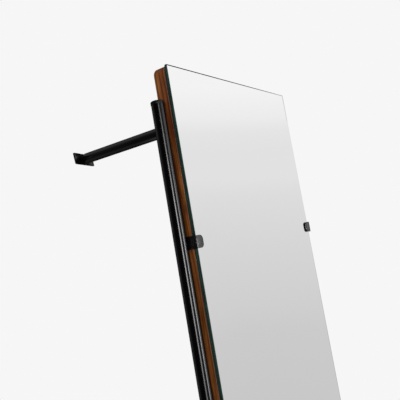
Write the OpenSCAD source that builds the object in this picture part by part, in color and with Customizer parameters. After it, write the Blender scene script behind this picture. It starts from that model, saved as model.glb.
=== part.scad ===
// Leaner mirror: a frameless glass on a walnut board, carried between two round
// steel posts that lean back, with two wall struts that end in swivelling wall plates.
// Millimetres, Z up, glass facing -Y. The origin is on the floor, under the middle of the whole part.

/* [Glass] */
// Width of the glass
glass_w = 470; // [400:5:600]
// Height of the glass
glass_h = 1652; // [1450:1:1800]
// Thickness of the glass
glass_t = 6; // [5:0.5:8]
// Thickness of the foam tape between glass and board
tape_t = 2; // [1:0.25:3]
// Width of one strip of foam tape
tape_w = 20; // [12:1:30]
// Thickness of the safety film on the silvered back
film_t = 0.2; // [0.2:0.05:0.5]

/* [Board] */
// Thickness of the backing board
board_t = 30; // [26:1:32]
// Corner radius of the board, seen from the front
board_corner_r = 14; // [10:0.5:20]
// Rounding of the board's back edge
board_edge_r = 7; // [5:0.5:9]
// How far the board stands above the top of the glass
board_rise = 1; // [0.5:0.5:6]
// How deep the rails are let into the board's back
rail_let_in = 4; // [3:0.25:4.5]
// Gap between the board's side and each post
board_gap = 0.5; // [0.3:0.1:1]

/* [Frame] */
// Lean of the mirror away from the vertical, degrees
lean = 12; // [8:0.5:15]
// Outer diameter of the posts
post_d = 25.4; // [25:0.1:28]
// Wall thickness of the posts
post_wall = 1.5; // [1.2:0.1:2]
// Distance from the top of the glass down to the top of the posts
post_drop = 68; // [40:1:100]
// Height of the glass above the floor, measured along the posts
glass_lift = 70; // [50:1:120]
// Height of a cross rail
rail_w = 30; // [24:1:40]
// Thickness of a cross rail
rail_t = 5; // [4:0.5:6]
// Distance from the glass's bottom edge up to the lowest rail's middle
rail_lift = 30; // [26:1:60]
// Distance from the strut down to the upper rail's middle
rail_drop = 74; // [50:1:120]

/* [Struts] */
// Outer diameter of the struts
strut_d = 22; // [21:0.5:24]
// Wall thickness of the struts
strut_wall = 1.5; // [1.2:0.1:1.8]
// Distance from the post's top down to the strut's axis
strut_drop = 60; // [40:1:100]
// Distance from the post's axis back to the wall plate's front face
strut_reach = 215; // [150:5:260]

/* [Swivel] */
// Diameter of the ball that carries the wall plate
ball_d = 12; // [11:0.5:12.5]
// Diameter of the neck between ball and plate
neck_d = 6; // [5:0.5:6.5]
// Wall thickness of the nylon cup round the ball
cup_wall = 1.45; // [1.2:0.05:1.5]
// Turn of each wall plate about the posts' direction in the rest pose, degrees
rest_turn = 12.5; // [0:0.5:15]
// Tilt of each wall plate in the rest pose, top towards the wall, degrees
rest_tilt = 6.5; // [0:0.5:15]

/* [Wall plate] */
// Width of a wall plate
plate_w = 64; // [56:1:80]
// Height of a wall plate
plate_h = 24; // [22:1:30]
// Thickness of a wall plate
plate_t = 3; // [3:0.5:5]
// Corner radius of a wall plate
plate_corner_r = 2; // [1:0.5:5]
// Diameter of the two screw holes in a wall plate
screw_hole_d = 5; // [4:0.5:6]
// Distance from the plate's middle to each screw hole
screw_hole_x = 23; // [20:0.5:25]

/* [Clips] */
// Height of a side clip, and width of a bottom clip
clip_h = 24; // [20:1:32]
// Thickness of the clips' steel strip
clip_t = 3; // [2:0.5:3]
// How far a side clip's tab reaches, measured from the clip's outer face
clip_reach = 20; // [18:1:30]
// Rounding of the clips' free ends
clip_end_r = 8; // [4:0.5:9.5]
// Distance from the end of the glass to the middle of the nearest side clip
clip_drop = 341; // [250:0.5:400]
// Thickness of the rubber between a tab and the glass face
pad_t = 1.5; // [1:0.25:2.5]
// Thickness of the rubber between a clip and the edge of the glass
side_pad_t = 1; // [0.5:0.25:1.5]
// Distance from the middle to each bottom clip
bottom_clip_x = 130; // [90:5:150]
// Height of a bottom clip's front lip
lip_h = 16; // [14:1:24]

/* [Hidden] */

$fn = 64;
eps = 0.01;
far = 60;

// Mirror axes: X across, Y back through the glass, Z up along the posts.
// Their zero is where the plane of the post axes meets the floor.
post_r = post_d / 2;
post_in_r = post_r - post_wall;
strut_r = strut_d / 2;
strut_in_r = strut_r - strut_wall;

// A rail's back face stays just inside the posts' rear line, and its end stops short of their middle
rail_inset = 0.1;
rail_end_x = 6;
rail_y = post_r - rail_inset - rail_t;
groove_gap = 0.3;
board_back_y = rail_y + rail_let_in;
board_front_y = board_back_y - board_t;
film_y = board_front_y - tape_t - film_t;
glass_y = film_y - glass_t;
glass_z = glass_lift;
glass_top_z = glass_z + glass_h;
post_x = glass_w / 2 + post_r;
board_w = glass_w - 2 * board_gap;
board_h = glass_h + board_rise;

// Glass, film and tape details
glass_corner_r = 1.5;
film_inset = 1;
tape_side_inset = 1.5;
tape_end_inset = 12;
tape_count = 5;
tape_run_x = glass_w - 2 * tape_side_inset - tape_w;

// Post ends
cap_rim = 0.5;
cap_t = 2.5;
cap_edge = 0.8;
cap_plug_l = 12;
cap_top_z = glass_top_z - post_drop;
post_top_z = cap_top_z - cap_t;
foot_h = 12;
foot_plug_l = 18;
strut_z = cap_top_z - strut_drop;

// Rails and their screws
upper_rail_z = strut_z - rail_drop;
lower_rail_z = glass_z + rail_lift;
middle_rail_z = (upper_rail_z + lower_rail_z) / 2;
screw_d = 4;
screw_hole_clear = 0.5;
screw_head_d = 8;
screw_head_h = 2.6;
screw_side_gap = 4;
rail_screw_x = bottom_clip_x + clip_h / 2 + screw_head_d / 2 + screw_side_gap;
screw_depth = 14;
screw_grip = 0.1;
screw_tip_l = 2;
screw_tip_gap = 0.3;
screw_tip_d = 1;

// Strut hardware
stud_d = 8;
stud_grip_l = 14;
nut_d = 11;
nut_l = 12;
plug_front_l = 20;
bore_gap = 0.1;

// Swivel, measured from the ball's middle towards the wall
ball_r = ball_d / 2;
swivel_gap = 0.05;
cup_in_r = ball_r + swivel_gap;
cup_r = cup_in_r + cup_wall;
socket_r = cup_r + swivel_gap;
cup_mouth = 3;
socket_rim = 2;
socket_mouth = 3.5;
socket_chamfer = 2.5;
socket_plug_l = 16;
cup_back = 4.5;
neck_r = neck_d / 2;
rivet_d = 5;
rivet_head_d = 7.6;
rivet_head_l = 1.4;
plate_gap = 7.2;
pivot_y = strut_reach - plate_gap;
strut_end_y = pivot_y - socket_rim;

// Clips, measured at the left side of the glass
clip_out_x = side_pad_t + clip_t;
tab_front_y = glass_y - pad_t - clip_t;
tab_back_y = glass_y - pad_t;
bend_in_r = 0.5;
bend_r = clip_t + bend_in_r;
upper_clip_z = glass_top_z - clip_drop;
lower_clip_z = glass_z + clip_drop;
pad_margin = 1;
side_pad_l = 6;
ledge_z = glass_z - pad_t;
clip_back_y = post_r - rail_inset;
clip_leg_top = rail_lift + rail_w / 2;

// Depth of the whole part, for the origin under its middle
ly = cos(lean);
lz = sin(lean);
bend_c_y = tab_front_y + bend_r;
bend_c_z = ledge_z - clip_t + bend_r;
front_y = bend_c_y * ly + bend_c_z * lz - bend_r;
face_y = cos(rest_turn) * cos(rest_tilt) * ly - sin(rest_tilt) * lz;
side_y = sin(rest_turn) * ly;
tall_y = cos(rest_turn) * sin(rest_tilt) * ly + cos(rest_tilt) * lz;
back_y = pivot_y * ly + strut_z * lz + (plate_gap + plate_t) * face_y
  + (plate_w / 2 - plate_corner_r) * side_y + (plate_h / 2 - plate_corner_r) * tall_y
  + plate_corner_r * sqrt(side_y * side_y + tall_y * tall_y);
origin_y = -(front_y + back_y) / 2;

// Puts a piece given in the mirror's axes into the standing part
module leaned() {
  translate([0, origin_y, 0])
    rotate([-lean, 0, 0])
      children();
}

// The left side as drawn, or its mirror image for the right side
module on_side(right) {
  if (right) {
    mirror([1, 0, 0])
      children();
  } else {
    children();
  }
}

// The left strut's axis, with Z running towards the wall and Y down
module strut_line() {
  translate([-post_x, 0, strut_z])
    rotate([-90, 0, 0])
      children();
}

// Wall plate axes in the rest pose: X across, Y out through the plate's back, Z up, ball at zero
module plate_pose() {
  translate([-post_x, pivot_y, strut_z])
    rotate([0, 0, rest_turn])
      rotate([-rest_tilt, 0, 0])
        children();
}

module post_tool(z0, z1) {
  translate([-post_x, 0, z0])
    cylinder(h = z1 - z0, r = post_r);
}

module rounded_rect(w, h, r) {
  translate([-w / 2 + r, 0])
    square([w - 2 * r, h]);
  translate([-w / 2, r])
    square([w, h - 2 * r]);
  for (x = [-w / 2 + r, w / 2 - r]) {
    for (z = [r, h - r]) {
      translate([x, z])
        circle(r = r);
    }
  }
}

// A panel in the mirror's axes, from y to y + t, with its bottom edge at z
module panel(w, h, r, y, t, z) {
  translate([0, y + t, z])
    rotate([90, 0, 0])
      linear_extrude(height = t)
        rounded_rect(w, h, r);
}

module mirror_glass() {
  color([0.75, 0.79, 0.80])
    leaned()
      panel(glass_w, glass_h, glass_corner_r, glass_y, glass_t, glass_z);
}

module backing_film() {
  color([0.32, 0.34, 0.36])
    leaned()
      panel(glass_w - 2 * film_inset, glass_h - 2 * film_inset, glass_corner_r,
        film_y, film_t, glass_z + film_inset);
}

module foam_tape() {
  color([0.10, 0.10, 0.11])
    leaned()
      for (i = [0 : tape_count - 1]) {
        translate([tape_run_x * (i / (tape_count - 1) - 0.5) - tape_w / 2,
          board_front_y - tape_t, glass_z + tape_end_inset])
          cube([tape_w, tape_t, glass_h - 2 * tape_end_inset]);
      }
}

// Quarter round at the outer end of a flat strip, r thick and w wide
module edge_profile(w, r) {
  square([w - r, r]);
  translate([w - r, 0])
    intersection() {
      circle(r = r);
      square([r, r]);
    }
}

// Board with its back edge rounded all round: slab, then a middle, four edges and four corners
module board_body() {
  r = board_edge_r;
  c = board_corner_r;
  edge_y = board_back_y - r;
  mid_z = glass_z + board_h / 2;
  run_x = board_w - 2 * c;
  run_z = board_h - 2 * c;
  panel(board_w, board_h, c, board_front_y, board_t - r, glass_z);
  translate([0, edge_y, mid_z]) {
    translate([-run_x / 2, 0, -run_z / 2])
      cube([run_x, r, run_z]);
    for (s = [0, 180]) {
      rotate([0, s, 0]) {
        translate([run_x / 2, 0, -run_z / 2])
          linear_extrude(height = run_z)
            edge_profile(c, r);
        translate([run_x / 2, 0, run_z / 2])
          rotate([0, -90, 0])
            linear_extrude(height = run_x)
              edge_profile(c, r);
        translate([run_x / 2, 0, run_z / 2])
          rotate([-90, 0, 0])
            rotate_extrude()
              edge_profile(c, r);
        translate([-run_x / 2, 0, run_z / 2])
          rotate([-90, 0, 0])
            rotate_extrude()
              edge_profile(c, r);
      }
    }
  }
}

module rail_screw_spots() {
  for (z = [upper_rail_z, middle_rail_z, lower_rail_z]) {
    for (x = [-rail_screw_x, 0, rail_screw_x]) {
      translate([x, clip_back_y, z])
        rotate([90, 0, 0])
          children();
    }
  }
}

module clip_screw_spots() {
  for (x = [-bottom_clip_x, bottom_clip_x]) {
    translate([x, clip_back_y + clip_t, lower_rail_z])
      rotate([90, 0, 0])
        children();
  }
}

// Groove across the board's back that takes a rail
module rail_groove(z) {
  translate([-board_w / 2 - eps, rail_y, z - rail_w / 2 - groove_gap])
    cube([board_w + 2 * eps, rail_let_in + eps, rail_w + 2 * groove_gap]);
}

module backing_board() {
  color([0.36, 0.20, 0.11])
    leaned()
      difference() {
        board_body();
        rail_groove(upper_rail_z);
        rail_groove(middle_rail_z);
        rail_groove(lower_rail_z);
        rail_screw_spots()
          cylinder(h = rail_t + screw_depth, d = screw_d + 2 * screw_grip);
        clip_screw_spots()
          cylinder(h = clip_t + rail_t + screw_depth, d = screw_d + 2 * screw_grip);
      }
}

module post() {
  difference() {
    translate([-post_x, 0, foot_h])
      cylinder(h = post_top_z - foot_h, r = post_r);
    translate([-post_x, 0, foot_h - eps])
      cylinder(h = post_top_z - foot_h + 2 * eps, r = post_in_r);
    strut_line()
      cylinder(h = far, d = nut_d + 2 * bore_gap);
  }
}

module left_post() {
  color([0.07, 0.07, 0.08])
    leaned()
      post();
}

module right_post() {
  color([0.07, 0.07, 0.08])
    leaned()
      on_side(true)
        post();
}

module top_cap() {
  translate([-post_x, 0, post_top_z - cap_plug_l])
    cylinder(h = cap_plug_l, r = post_in_r);
  translate([-post_x, 0, post_top_z])
    cylinder(h = cap_t - cap_edge, r = post_r + cap_rim);
  translate([-post_x, 0, cap_top_z - cap_edge])
    cylinder(h = cap_edge, r1 = post_r + cap_rim, r2 = post_r + cap_rim - cap_edge);
}

module left_top_cap() {
  color([0.09, 0.09, 0.10])
    leaned()
      top_cap();
}

module right_top_cap() {
  color([0.09, 0.09, 0.10])
    leaned()
      on_side(true)
        top_cap();
}

// Rubber foot: a plug up the post and a sole cut level with the floor
module foot() {
  difference() {
    union() {
      translate([-post_x, 0, -post_r])
        cylinder(h = foot_h + post_r, r = post_r);
      translate([-post_x, 0, foot_h])
        cylinder(h = foot_plug_l, r = post_in_r);
    }
    rotate([lean, 0, 0])
      translate([-post_x - far, -far, -far])
        cube([2 * far, 2 * far, far]);
  }
}

module left_foot() {
  color([0.05, 0.05, 0.05])
    leaned()
      foot();
}

module right_foot() {
  color([0.05, 0.05, 0.05])
    leaned()
      on_side(true)
        foot();
}

// Flat bar between the posts, its ends shaped to their surfaces
module rail(z) {
  difference() {
    translate([-post_x + rail_end_x, rail_y, z - rail_w / 2])
      cube([2 * (post_x - rail_end_x), rail_t, rail_w]);
    post_tool(z - rail_w, z + rail_w);
    mirror([1, 0, 0])
      post_tool(z - rail_w, z + rail_w);
    rail_screw_spots()
      cylinder(h = rail_t + eps, d = screw_d + 2 * screw_hole_clear);
    clip_screw_spots()
      cylinder(h = rail_t + clip_t + eps, d = screw_d + 2 * screw_hole_clear);
  }
}

module upper_rail() {
  color([0.12, 0.12, 0.13])
    leaned()
      rail(upper_rail_z);
}

module middle_rail() {
  color([0.12, 0.12, 0.13])
    leaned()
      rail(middle_rail_z);
}

module lower_rail() {
  color([0.12, 0.12, 0.13])
    leaned()
      rail(lower_rail_z);
}

// Pan head screw with its seat at zero, pointing along +Z
module wood_screw(grip) {
  cylinder(h = grip + screw_depth - screw_tip_l - screw_tip_gap, d = screw_d);
  translate([0, 0, grip + screw_depth - screw_tip_l - screw_tip_gap])
    cylinder(h = screw_tip_l, d1 = screw_d, d2 = screw_tip_d);
  intersection() {
    translate([0, 0, -screw_head_h])
      cylinder(h = screw_head_h, d = screw_head_d);
    translate([0, 0, screw_head_d - screw_head_h])
      sphere(r = screw_head_d);
  }
}

module rail_screws() {
  color([0.30, 0.30, 0.31])
    leaned()
      rail_screw_spots()
        wood_screw(rail_t);
}

module clip_screws() {
  color([0.14, 0.14, 0.15])
    leaned()
      clip_screw_spots()
        wood_screw(clip_t + rail_t);
}

// Strut tube, its front end shaped to the post
module strut() {
  difference() {
    strut_line()
      cylinder(h = strut_end_y, r = strut_r);
    strut_line()
      translate([0, 0, -eps])
        cylinder(h = strut_end_y + 2 * eps, r = strut_in_r);
    post_tool(strut_z - far, strut_z + far);
  }
}

module left_strut() {
  color([0.07, 0.07, 0.08])
    leaned()
      strut();
}

module right_strut() {
  color([0.07, 0.07, 0.08])
    leaned()
      on_side(true)
        strut();
}

// Threaded plug inside the strut's front end
module strut_plug() {
  difference() {
    strut_line()
      cylinder(h = post_r + plug_front_l, r = strut_in_r);
    strut_line()
      cylinder(h = post_r + stud_grip_l, d = stud_d);
    post_tool(strut_z - far, strut_z + far);
  }
}

module left_strut_plug() {
  color([0.45, 0.45, 0.46])
    leaned()
      strut_plug();
}

module right_strut_plug() {
  color([0.45, 0.45, 0.46])
    leaned()
      on_side(true)
        strut_plug();
}

module stud() {
  strut_line()
    translate([0, 0, post_r - nut_l])
      cylinder(h = nut_l + stud_grip_l, d = stud_d);
}

module strut_studs() {
  color([0.60, 0.60, 0.61])
    leaned() {
      stud();
      on_side(true)
        stud();
    }
}

// Rivet nut set in the post's back wall
module rivet_nut() {
  difference() {
    intersection() {
      strut_line()
        translate([0, 0, post_r - nut_l])
          cylinder(h = nut_l, d = nut_d);
      post_tool(strut_z - far, strut_z + far);
    }
    strut_line()
      cylinder(h = far, d = stud_d);
  }
}

module rivet_nuts() {
  color([0.70, 0.68, 0.60])
    leaned() {
      rivet_nut();
      on_side(true)
        rivet_nut();
    }
}

// Steel plug in the strut's rear end: a round seat with a mouth towards the wall
module socket_plug() {
  strut_line()
    translate([0, 0, pivot_y])
      difference() {
        union() {
          translate([0, 0, -socket_rim - socket_plug_l])
            cylinder(h = socket_plug_l, r = strut_in_r);
          translate([0, 0, -socket_rim])
            cylinder(h = socket_rim, r = strut_r);
          cylinder(h = socket_mouth, r1 = strut_r, r2 = strut_r - socket_chamfer);
        }
        sphere(r = socket_r);
      }
}

module left_socket_plug() {
  color([0.10, 0.10, 0.11])
    leaned()
      socket_plug();
}

module right_socket_plug() {
  color([0.10, 0.10, 0.11])
    leaned()
      on_side(true)
        socket_plug();
}

// Nylon cup round the ball. It turns in the socket, about the posts' direction
module swivel_cup() {
  translate([-post_x, pivot_y, strut_z])
    rotate([0, 0, rest_turn])
      rotate([-90, 0, 0])
        difference() {
          sphere(r = cup_r);
          sphere(r = cup_in_r);
          translate([-far, -far, cup_mouth])
            cube([2 * far, 2 * far, far]);
          translate([-far, -far, -far - cup_back])
            cube([2 * far, 2 * far, far]);
        }
}

module left_swivel_cup() {
  color([0.85, 0.85, 0.82])
    leaned()
      swivel_cup();
}

module right_swivel_cup() {
  color([0.85, 0.85, 0.82])
    leaned()
      on_side(true)
        swivel_cup();
}

// Ball, neck and rivet shank, peened flush with the plate's back
module ball_stud() {
  plate_pose()
    rotate([-90, 0, 0]) {
      sphere(r = ball_r);
      cylinder(h = plate_gap, r = neck_r);
      translate([0, 0, plate_gap - eps])
        cylinder(h = plate_t - rivet_head_l + 2 * eps, d = rivet_d);
      translate([0, 0, plate_gap + plate_t - rivet_head_l])
        cylinder(h = rivet_head_l, d1 = rivet_d, d2 = rivet_head_d);
    }
}

module left_ball_stud() {
  color([0.55, 0.55, 0.56])
    leaned()
      ball_stud();
}

module right_ball_stud() {
  color([0.55, 0.55, 0.56])
    leaned()
      on_side(true)
        ball_stud();
}

module wall_plate() {
  plate_pose()
    difference() {
      translate([0, 0, -plate_h / 2])
        panel(plate_w, plate_h, plate_corner_r, plate_gap, plate_t, 0);
      rotate([-90, 0, 0]) {
        cylinder(h = far, d = rivet_d);
        translate([0, 0, plate_gap + plate_t - rivet_head_l])
          cylinder(h = rivet_head_l, d1 = rivet_d, d2 = rivet_head_d);
        for (s = [-1, 1]) {
          translate([s * screw_hole_x, 0, 0])
            cylinder(h = far, d = screw_hole_d);
        }
      }
    }
}

module left_wall_plate() {
  color([0.08, 0.08, 0.09])
    leaned()
      wall_plate();
}

module right_wall_plate() {
  color([0.08, 0.08, 0.09])
    leaned()
      on_side(true)
        wall_plate();
}

// Bent strip in plan at the left edge of the glass: a leg from the post, a bend and a tab
module side_clip_plan() {
  x0 = -glass_w / 2 - clip_out_x;
  translate([x0, tab_front_y + bend_r])
    square([clip_t, -tab_front_y - bend_r]);
  translate([x0 + bend_r, tab_front_y])
    square([clip_reach - bend_r, clip_t]);
  translate([x0 + bend_r, tab_front_y + bend_r])
    difference() {
      intersection() {
        circle(r = bend_r);
        translate([-bend_r, -bend_r])
          square([bend_r, bend_r]);
      }
      circle(r = bend_in_r);
    }
}

// Outline of a side clip seen from the front, with a rounded free end
module side_clip_face() {
  x0 = -glass_w / 2 - clip_out_x;
  x1 = x0 + clip_reach;
  translate([x0 - eps, -clip_h / 2])
    square([clip_reach - clip_end_r + eps, clip_h]);
  translate([x0, -clip_h / 2 + clip_end_r])
    square([clip_reach, clip_h - 2 * clip_end_r]);
  for (s = [-1, 1]) {
    translate([x1 - clip_end_r, s * (clip_h / 2 - clip_end_r)])
      circle(r = clip_end_r);
  }
}

module side_clip(z) {
  difference() {
    translate([0, 0, z])
      intersection() {
        translate([0, 0, -clip_h / 2])
          linear_extrude(height = clip_h)
            side_clip_plan();
        translate([0, far, 0])
          rotate([90, 0, 0])
            linear_extrude(height = 2 * far)
              side_clip_face();
      }
    post_tool(z - clip_h, z + clip_h);
    translate([-post_x - post_r, 0, z - clip_h])
      cube([2 * post_r, far, 2 * clip_h]);
  }
}

module upper_left_clip() {
  color([0.10, 0.10, 0.11])
    leaned()
      side_clip(upper_clip_z);
}

module upper_right_clip() {
  color([0.10, 0.10, 0.11])
    leaned()
      on_side(true)
        side_clip(upper_clip_z);
}

module lower_left_clip() {
  color([0.10, 0.10, 0.11])
    leaned()
      side_clip(lower_clip_z);
}

module lower_right_clip() {
  color([0.10, 0.10, 0.11])
    leaned()
      on_side(true)
        side_clip(lower_clip_z);
}

// Rubber angle inside a side clip: one leaf on the glass face, one on its edge
module side_pad(z) {
  h = clip_h - 2 * pad_margin;
  translate([-glass_w / 2, tab_back_y, z - h / 2])
    cube([clip_reach - clip_out_x - clip_end_r / 2, pad_t, h]);
  translate([-glass_w / 2 - side_pad_t, tab_back_y + bend_in_r, z - h / 2])
    cube([side_pad_t, side_pad_l + pad_t - bend_in_r, h]);
}

module clip_pads() {
  color([0.04, 0.04, 0.04])
    leaned()
      for (z = [upper_clip_z, lower_clip_z]) {
        side_pad(z);
        on_side(true)
          side_pad(z);
      }
}

// Bent strip in side view under the glass: back leg, ledge and front lip
module bottom_clip_profile() {
  y0 = tab_front_y;
  y1 = clip_back_y + clip_t;
  z0 = ledge_z - clip_t;
  translate([y0 + bend_r, z0])
    square([y1 - y0 - 2 * bend_r, clip_t]);
  translate([y0, z0 + bend_r])
    square([clip_t, lip_h - bend_r]);
  translate([y1 - clip_t, z0 + bend_r])
    square([clip_t, clip_leg_top + pad_t + clip_t - bend_r]);
  translate([y0 + bend_r, z0 + bend_r])
    difference() {
      intersection() {
        circle(r = bend_r);
        translate([-bend_r, -bend_r])
          square([bend_r, bend_r]);
      }
      circle(r = bend_in_r);
    }
  translate([y1 - bend_r, z0 + bend_r])
    difference() {
      intersection() {
        circle(r = bend_r);
        translate([0, -bend_r])
          square([bend_r, bend_r]);
      }
      circle(r = bend_in_r);
    }
}

// Outline of a bottom clip seen from the front, both ends rounded
module bottom_clip_face(z0, z1) {
  translate([-clip_h / 2, z0])
    square([clip_h, z1 - z0 - clip_end_r]);
  translate([-clip_h / 2 + clip_end_r, z0])
    square([clip_h - 2 * clip_end_r, z1 - z0]);
  for (s = [-1, 1]) {
    translate([s * (clip_h / 2 - clip_end_r), z1 - clip_end_r])
      circle(r = clip_end_r);
  }
}

module bottom_clip() {
  z0 = ledge_z - clip_t;
  translate([-bottom_clip_x, 0, 0])
    difference() {
      intersection() {
        translate([-clip_h / 2, 0, 0])
          rotate([90, 0, 90])
            linear_extrude(height = clip_h)
              bottom_clip_profile();
        union() {
          rotate([90, 0, 0])
            linear_extrude(height = far)
              bottom_clip_face(z0 - eps, z0 + lip_h);
          translate([0, far, 0])
            rotate([90, 0, 0])
              linear_extrude(height = far + eps)
                bottom_clip_face(z0 - eps, z0 + clip_leg_top + pad_t + clip_t);
        }
      }
      translate([0, clip_back_y - eps, lower_rail_z])
        rotate([-90, 0, 0])
          cylinder(h = clip_t + 2 * eps, d = screw_d + 2 * screw_hole_clear);
    }
}

module bottom_left_clip() {
  color([0.10, 0.10, 0.11])
    leaned()
      bottom_clip();
}

module bottom_right_clip() {
  color([0.10, 0.10, 0.11])
    leaned()
      on_side(true)
        bottom_clip();
}

// Rubber angle in a bottom clip: one leaf under the glass, one on its face
module bottom_pad() {
  w = clip_h - 2 * pad_margin;
  translate([-bottom_clip_x - w / 2, tab_back_y + bend_in_r, ledge_z])
    cube([w, board_front_y - tab_back_y - bend_in_r, pad_t]);
  translate([-bottom_clip_x - w / 2, tab_back_y, ledge_z + pad_t])
    cube([w, pad_t, lip_h - clip_t - pad_t - clip_end_r / 2]);
}

module bottom_pads() {
  color([0.04, 0.04, 0.04])
    leaned() {
      bottom_pad();
      on_side(true)
        bottom_pad();
    }
}

mirror_glass();
backing_film();
foam_tape();
backing_board();
left_post();
right_post();
left_top_cap();
right_top_cap();
left_foot();
right_foot();
upper_rail();
middle_rail();
lower_rail();
rail_screws();
left_strut();
right_strut();
left_strut_plug();
right_strut_plug();
strut_studs();
rivet_nuts();
left_socket_plug();
right_socket_plug();
left_swivel_cup();
right_swivel_cup();
left_ball_stud();
right_ball_stud();
left_wall_plate();
right_wall_plate();
upper_left_clip();
upper_right_clip();
lower_left_clip();
lower_right_clip();
bottom_left_clip();
bottom_right_clip();
clip_pads();
bottom_pads();
clip_screws();
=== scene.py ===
# %% [markdown]
# Leaner mirror. A frameless silvered glass sits on a walnut board between two
# black steel posts that lean back. Two struts run back from the posts and end in
# wall plates on ball swivels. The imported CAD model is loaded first. It fixes every
# size and place, and nothing in it is moved or reshaped here.

# %% Load the frame
import math

import bpy
from mathutils import Matrix, Vector


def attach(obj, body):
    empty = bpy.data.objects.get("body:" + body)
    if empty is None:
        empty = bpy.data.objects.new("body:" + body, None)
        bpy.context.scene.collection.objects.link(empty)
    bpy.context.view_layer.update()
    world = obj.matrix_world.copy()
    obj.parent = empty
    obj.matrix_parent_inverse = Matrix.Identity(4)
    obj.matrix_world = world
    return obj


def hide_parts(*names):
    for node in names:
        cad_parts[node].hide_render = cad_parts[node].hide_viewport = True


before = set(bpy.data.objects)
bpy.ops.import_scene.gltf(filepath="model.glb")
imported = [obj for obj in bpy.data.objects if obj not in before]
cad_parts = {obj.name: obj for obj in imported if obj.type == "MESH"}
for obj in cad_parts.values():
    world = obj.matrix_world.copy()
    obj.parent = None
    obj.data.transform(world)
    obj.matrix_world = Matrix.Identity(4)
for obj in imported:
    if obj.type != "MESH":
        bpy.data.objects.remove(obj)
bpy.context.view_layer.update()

# %% [markdown]
# The lean makes every place awkward to write in the room's axes. Each piece could
# be drawn flat and turned by itself. It is simpler to draw all of them in
# millimetres as if the mirror stood straight, with X across, Y back through the
# glass and Z up along the posts, and to let one matrix lean and shrink them. The
# sizes are the CAD model's own, so each piece fits what it replaces.

# %% Mirror axes
LEAN = math.radians(12)
# Where the posts' axes meet the floor
AXIS_Y = -269.107
LEANED = (
    Matrix.Scale(0.001, 4)
    @ Matrix.Translation((0, AXIS_Y, 0))
    @ Matrix.Rotation(-LEAN, 4, "X")
)
GLASS_W, GLASS_H, GLASS_T = 470.0, 1652.0, 6.0
GLASS_FRONT, GLASS_Z = -26.6, 70.0
GLASS_TOP = GLASS_Z + GLASS_H
print("glass top at", [round(v, 4) for v in LEANED @ Vector((0, GLASS_FRONT, GLASS_TOP))])

# %% [markdown]
# The camera stands left of the mirror, a little above its middle, and looks along
# the glass. Its place could be guessed by eye, but the photograph's straight edges
# fix it, so it was worked out from them. It looks down by less than a degree and
# shifts the picture for the rest, so upright edges stay upright.

# %% Camera
PICTURE = 400
FOCAL_PX = 568.44
HORIZON_PX = 191.42
HEADING, LOOKS_DOWN = -54.096, 0.5867
CAMERA_AT = (-1.07095, -0.62120, 1.45902)
camera = bpy.data.objects.new("camera", bpy.data.cameras.new("camera"))
bpy.context.scene.collection.objects.link(camera)
camera.data.sensor_width = 36
camera.data.lens = FOCAL_PX * camera.data.sensor_width / PICTURE
camera.data.shift_y = (HORIZON_PX - PICTURE / 2) / PICTURE
camera.location = CAMERA_AT
camera.rotation_euler = (math.radians(90 - LOOKS_DOWN), 0, math.radians(HEADING))
bpy.context.scene.camera = camera
print("lens", round(camera.data.lens, 2), "shift", round(camera.data.shift_y, 4))

# %% [markdown]
# Colours are written as the sRGB hex that a picture editor shows. The renderer
# counts in linear light, so one function turns them. One more function adds a
# shader node with its settings, its links and, for a ramp, its stops.

# %% Colour and nodes
def hex_colour(text):
    values = [int(text[i:i + 2], 16) / 255 for i in (1, 3, 5)]
    linear = [v / 12.92 if v <= 0.04045 else ((v + 0.055) / 1.055) ** 2.4 for v in values]
    return (*linear, 1)


def add_node(tree, kind, inputs=None, stops=None, **settings):
    made = tree.nodes.new("ShaderNode" + kind)
    for name, value in settings.items():
        setattr(made, name, value)
    for key, value in (inputs or {}).items():
        if isinstance(value, bpy.types.NodeSocket):
            tree.links.new(value, made.inputs[key])
        else:
            made.inputs[key].default_value = value
    if stops:
        ramp = made.color_ramp.elements
        while len(ramp) < len(stops):
            ramp.new(0.5)
        for element, (place, colour) in zip(ramp, stops):
            element.position = place
            element.color = hex_colour(colour)
    return made


print("mid grey in linear light", round(hex_colour("#808080")[0], 3))

# %% [markdown]
# A noise or wave texture repeats about once in one unit divided by its scale.
# Object coordinates are in metres, so this turns a real spacing in millimetres,
# such as the width of a wood pore, into the texture's scale. What is finer than
# about half a millimetre doesn't show in the picture. It is drawn coarser, and a
# comment says so.

# %% Spacing of a pattern
def every(millimetres):
    return 1000 / millimetres


print("a 2 mm pattern has scale", every(2))

# %% [markdown]
# The studio is a white room. The camera sees an even pale grey, and soft white
# light from all round lets each colour render as it is written. What gloss sees is
# laid out as in a product studio: a pale wall in front that darkens towards the
# floor, dark flags at the sides, and tall strip lights that draw lines down the
# posts. All of it could be built from cards and lamps. Painted on the world it
# costs no render time and stays out of every view.

# %% Walls of the studio
# Round the room, from behind, by the left, the front and the right, to behind
ROUND_ROOM = [
    (0.0, "#7c7c7c"), (0.06, "#b0b0b0"), (0.14, "#4a4a4a"), (0.20, "#141414"),
    (0.31, "#0e0e0e"), (0.36, "#6a6a6a"), (0.41, "#a8a8a8"), (0.47, "#909090"),
    (0.53, "#c8c8c8"), (0.60, "#ffffff"), (0.69, "#ffffff"), (0.70, "#e0e0e0"),
    (0.708, "#d8d8d8"), (0.711, "#202020"), (0.78, "#303030"), (0.90, "#4a4a4a"),
    (1.0, "#7c7c7c"),
]
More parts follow.
